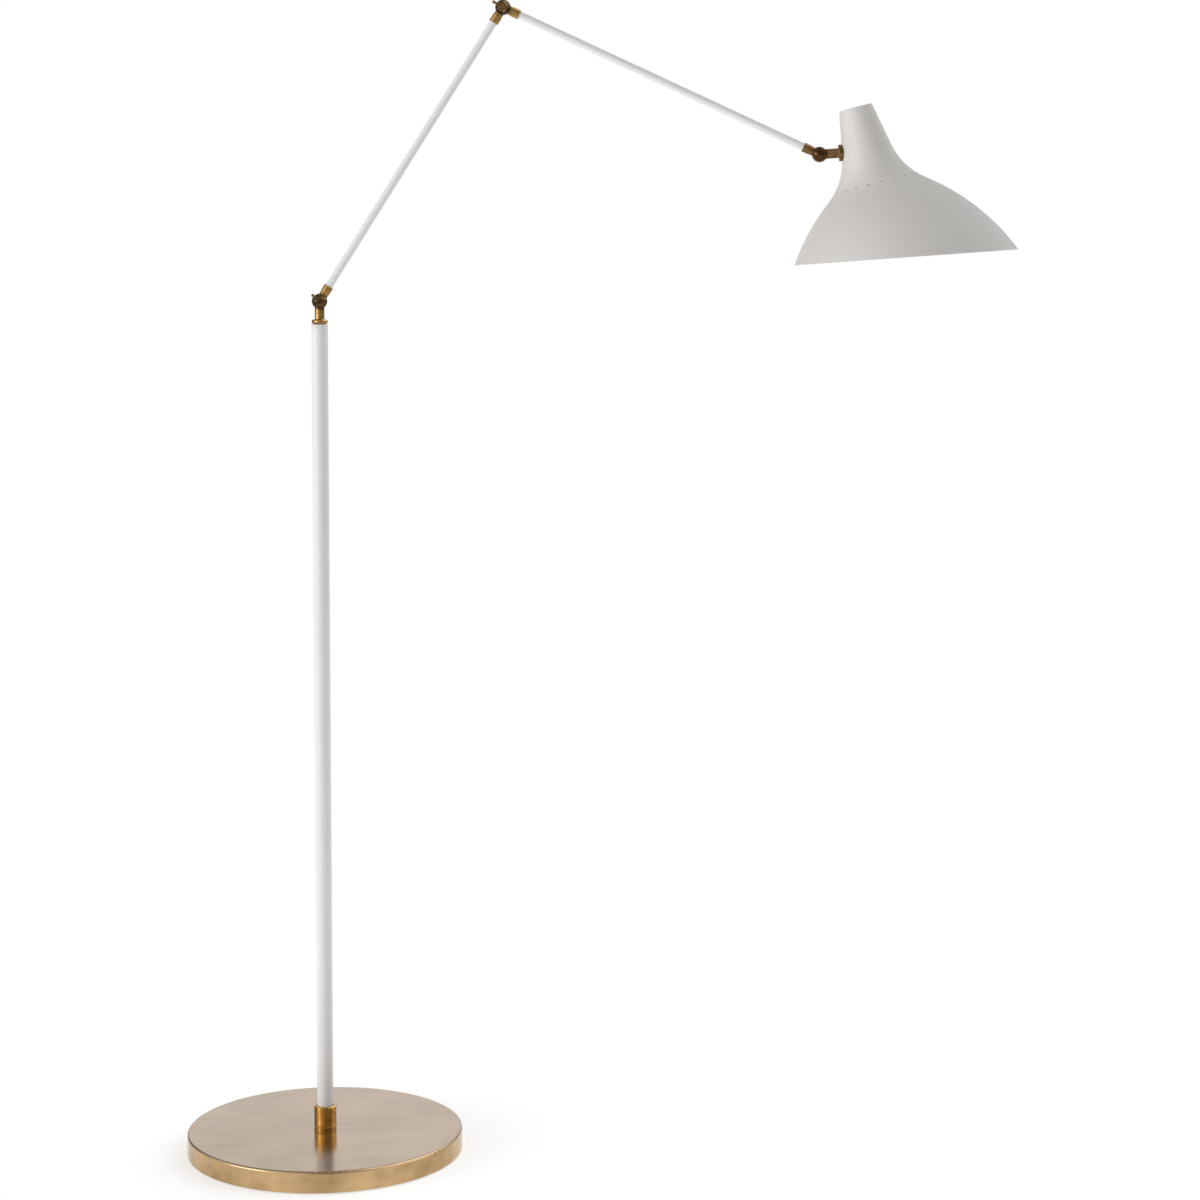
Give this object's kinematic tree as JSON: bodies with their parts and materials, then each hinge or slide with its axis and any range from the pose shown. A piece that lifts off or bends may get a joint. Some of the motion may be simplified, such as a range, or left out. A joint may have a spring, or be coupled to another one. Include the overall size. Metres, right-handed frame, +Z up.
{
  "type": "adjustable arm floor lamp",
  "caption": "Floor lamp with a weighted brass disc base, a white pole, two jointed arms and a tilting white spun shade, held by brass clamp knuckles.",
  "frame": {"origin": "centre of the base's underside, on the floor", "axes": "+Z up along the pole, +X the way the arms and shade reach, -Y the front"},
  "size_m": [0.914, 0.3073, 1.2707],
  "materials": {
    "base_brass": "satin",
    "brass_fittings": "satin",
    "white_steel": "satin",
    "white_shade": "matte",
    "cast_iron": "matte",
    "pad_rubber": "matte",
    "black_plastic": "matte",
    "steel_hardware": "satin",
    "lead_sheath": "satin",
    "black_phenolic": "satin",
    "contact_brass": "satin",
    "bulb_cap_aluminium": "satin",
    "bulb_glass": "satin"
  },
  "bodies": {
    "stand": {"base_pad": "pad_rubber", "base_weight": "cast_iron", "base_cover": "base_brass", "cord_gland": "black_plastic", "terminal_block": "black_plastic", "terminal_screws": "steel_hardware", "cord_clamp": "black_plastic", "base_screws": "steel_hardware", "base_nipple": "steel_hardware", "base_washer": "steel_hardware", "base_nut": "steel_hardware", "base_collar": "brass_fittings", "pole_tube": "white_steel", "pole_foot_insert": "steel_hardware", "pole_head_insert": "steel_hardware", "pole_lead": "lead_sheath"},
    "swivel": {"pole_swivel": "brass_fittings", "swivel_washer": "steel_hardware", "swivel_nut": "steel_hardware", "swivel_lead": "lead_sheath", "lower_knuckle_screw": "brass_fittings", "lower_knuckle_washer": "brass_fittings"},
    "lower_clamp": {"lower_lever_nut": "brass_fittings"},
    "lower_arm": {"lower_arm_foot": "brass_fittings", "lower_arm_tube": "white_steel", "lower_arm_head": "brass_fittings", "lower_arm_lead": "lead_sheath", "elbow_screw": "brass_fittings", "elbow_washer": "brass_fittings"},
    "elbow_clamp": {"elbow_lever_nut": "brass_fittings"},
    "upper_arm": {"upper_arm_foot": "brass_fittings", "upper_arm_tube": "white_steel", "upper_arm_head": "brass_fittings", "upper_arm_lead": "lead_sheath", "shade_knuckle_screw": "brass_fittings", "shade_knuckle_washer": "brass_fittings", "shade_knuckle_nut": "brass_fittings"},
    "shade": {"shade_stem": "brass_fittings", "shade_stem_lead": "lead_sheath", "shade_stem_saddle": "steel_hardware", "shade_stem_washer": "steel_hardware", "shade_stem_nut": "steel_hardware", "shade_shell": "white_shade", "holder_bracket": "steel_hardware", "holder_nipple": "steel_hardware", "holder_nipple_nut": "steel_hardware", "lampholder_cap": "black_phenolic", "lampholder_body": "black_phenolic", "lampholder_sleeve": "contact_brass", "lampholder_contact": "contact_brass", "bulb_contact": "contact_brass", "bulb_cap": "bulb_cap_aluminium", "bulb_glass": "bulb_glass"}
  },
  "joints": [
    {"name": "pole_swivel_turn", "type": "hinge", "parent": "stand", "child": "swivel", "pos_m": [0, 0, 0.9193], "axis": [0, 0, 1], "range_deg": [-170, 170]},
    {"name": "lower_knuckle_tilt", "type": "hinge", "parent": "swivel", "child": "lower_arm", "pos_m": [0, 0, 0.944], "axis": [0, 1, 0], "range_deg": [-127.3, 62.7]},
    {"name": "elbow_tilt", "type": "hinge", "parent": "lower_arm", "child": "upper_arm", "pos_m": [0.20118, 0, 1.26224], "axis": [0, 1, 0], "range_deg": [-182.4, 17.6]},
    {"name": "shade_tilt", "type": "hinge", "parent": "upper_arm", "child": "shade", "pos_m": [0.54537, 0, 1.10357], "axis": [0, 1, 0], "range_deg": [-71.3, 90]},
    {"name": "lower_lever_turn", "type": "hinge", "parent": "swivel", "child": "lower_clamp", "pos_m": [0, 0, 0.944], "axis": [0, 1, 0], "range_deg": [0, 180]},
    {"name": "elbow_lever_turn", "type": "hinge", "parent": "lower_arm", "child": "elbow_clamp", "pos_m": [0.20118, 0, 1.26224], "axis": [0, -1, 0], "range_deg": [0, 180]}
  ]
}
